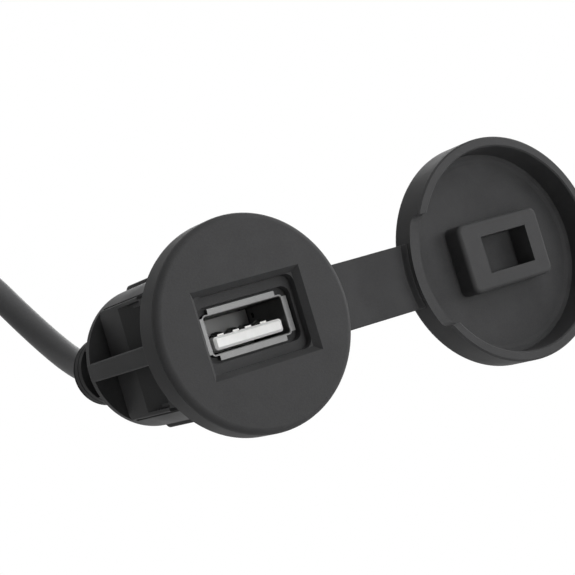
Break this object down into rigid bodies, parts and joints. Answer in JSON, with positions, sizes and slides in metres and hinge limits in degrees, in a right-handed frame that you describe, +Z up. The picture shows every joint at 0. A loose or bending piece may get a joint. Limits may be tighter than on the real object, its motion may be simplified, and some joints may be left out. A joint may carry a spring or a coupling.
{
  "type": "flush-mount car usb socket",
  "caption": "Round flush-mount USB socket with a tethered rubber dust cap, a ribbed rear housing, a strain relief and a coiled lead to a plug.",
  "frame": {"origin": "on the socket's axis, in the plane where the flange's ring seats on the panel", "axes": "+X along the tether towards the open cap, +Y back through the panel, +Z up"},
  "size_m": [0.1567, 0.086, 0.1107],
  "materials": {
    "socket_plastic": "fine satin, moulded",
    "cap_rubber": "soft matte",
    "relief_rubber": "soft matte",
    "lead_jacket": "smooth satin",
    "port_steel": "satin, plated sheet",
    "band_metal": "satin",
    "port_white": "smooth white",
    "contact_plating": "bright nickel plating",
    "wire_red": "smooth",
    "wire_white": "smooth",
    "wire_green": "smooth",
    "wire_black": "smooth",
    "tie_plastic": "smooth"
  },
  "bodies": {
    "socket": {"bezel": "socket_plastic", "tether_ring": "cap_rubber", "tether_strap": "cap_rubber", "rear_housing": "socket_plastic", "usb_shell": "port_steel", "contact_carrier": "port_white", "contact_vbus": "contact_plating", "contact_data_minus": "contact_plating", "contact_data_plus": "contact_plating", "contact_ground": "contact_plating", "wire_vbus": "wire_red", "wire_data_minus": "wire_white", "wire_data_plus": "wire_green", "wire_ground": "wire_black", "strain_relief": "relief_rubber", "lead_inner_end": "lead_jacket", "crimp_ferrule": "band_metal", "lead_tube": "lead_jacket", "lead_coil": "lead_jacket", "lead_tail": "lead_jacket", "coil_tie": "tie_plastic", "plug_grip": "socket_plastic", "plug_shell": "port_steel", "plug_insulator": "port_white", "plug_contact_vbus": "contact_plating", "plug_contact_data_minus": "contact_plating", "plug_contact_data_plus": "contact_plating", "plug_contact_ground": "contact_plating"},
    "cap": {"dust_cap": "cap_rubber"}
  },
  "joints": [
    {"name": "cap_hinge", "type": "hinge", "parent": "socket", "child": "cap", "pos_m": [0.0223, -0.00415, 0], "axis": [0, 0, -1], "range_deg": [0, 180], "stiffness_Nm_per_rad": 0.0009, "deforming": ["tether_strap"]}
  ]
}
